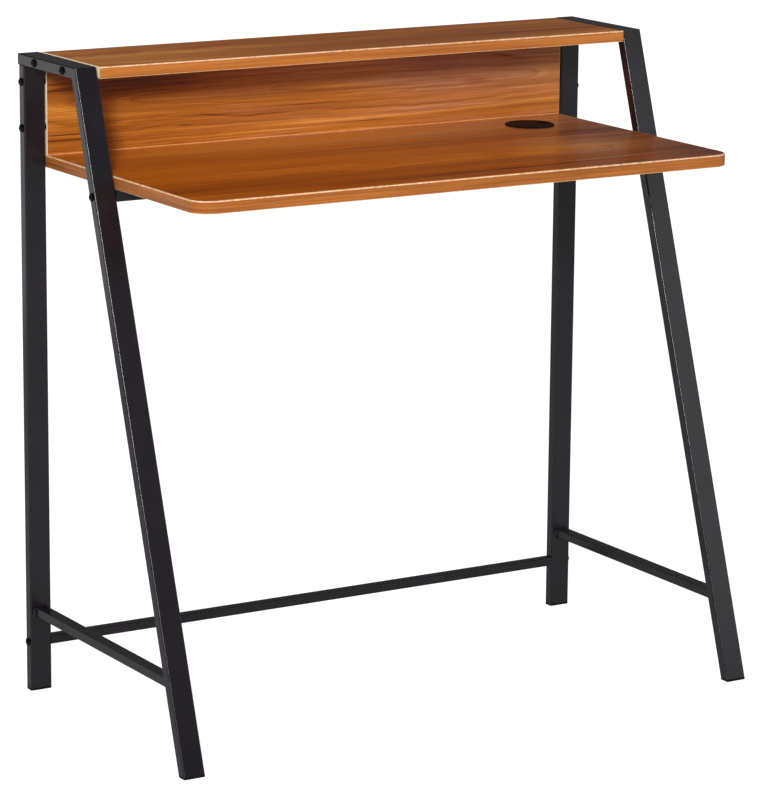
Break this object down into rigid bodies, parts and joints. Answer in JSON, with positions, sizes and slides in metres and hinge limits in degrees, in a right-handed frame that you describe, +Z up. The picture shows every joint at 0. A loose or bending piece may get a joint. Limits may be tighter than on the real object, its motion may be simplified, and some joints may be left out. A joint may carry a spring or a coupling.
{
  "type": "computer desk",
  "caption": "Writing desk with leaning steel end frames, a wood-look tabletop with a cable grommet, a back panel and a raised shelf.",
  "frame": {"origin": "on the floor, at the centre of the desk's width and depth", "axes": "+X to the user's right along the tabletop, +Y to the back of the desk, +Z up"},
  "size_m": [0.8658, 0.445, 0.85],
  "materials": {
    "black_steel": "satin black powder coat on steel tube",
    "black_plastic": "moulded black plastic",
    "black_bolt": "black zinc-plated steel",
    "zinc_steel": "bright zinc-plated steel",
    "zinc_alloy": "cast zinc alloy",
    "walnut_board": "melamine-faced particle board, red-brown walnut print, satin",
    "walnut_band": "walnut-print edge band",
    "beech": "raw beech"
  },
  "bodies": {
    "desk": {"left_rear_leg": "black_steel", "left_front_leg": "black_steel", "left_top_tube": "black_steel", "left_side_rail": "black_steel", "left_frame_welds": "black_steel", "left_rear_foot_plug": "black_plastic", "left_front_foot_plug": "black_plastic", "left_top_tube_plug": "black_plastic", "right_rear_leg": "black_steel", "right_front_leg": "black_steel", "right_top_tube": "black_steel", "right_side_rail": "black_steel", "right_frame_welds": "black_steel", "right_rear_foot_plug": "black_plastic", "right_front_foot_plug": "black_plastic", "right_top_tube_plug": "black_plastic", "rear_stretcher": "black_steel", "front_rail": "black_steel", "stretcher_nut_blocks": "zinc_steel", "front_rail_nut_blocks": "zinc_steel", "shelf_bolts": "black_bolt", "panel_bolts": "black_bolt", "stretcher_bolts": "black_bolt", "front_rail_bolts": "black_bolt", "shelf_inserts": "zinc_alloy", "panel_inserts": "zinc_alloy", "tabletop": "walnut_board", "tabletop_edge_band": "walnut_band", "back_panel": "walnut_board", "top_shelf": "walnut_board", "shelf_front_band": "walnut_band", "shelf_rear_band": "walnut_band", "tabletop_screws": "zinc_steel", "panel_connector_screws": "zinc_steel", "shelf_dowels": "beech", "grommet_liner": "black_plastic"},
    "cable_cap": {"grommet_cap": "black_plastic"}
  },
  "joints": [
    {"name": "cable_cap_turn", "type": "hinge", "parent": "desk", "child": "cable_cap", "pos_m": [0.301, 0.1335, 0.717], "axis": [0, 0, 1], "continuous": true}
  ]
}
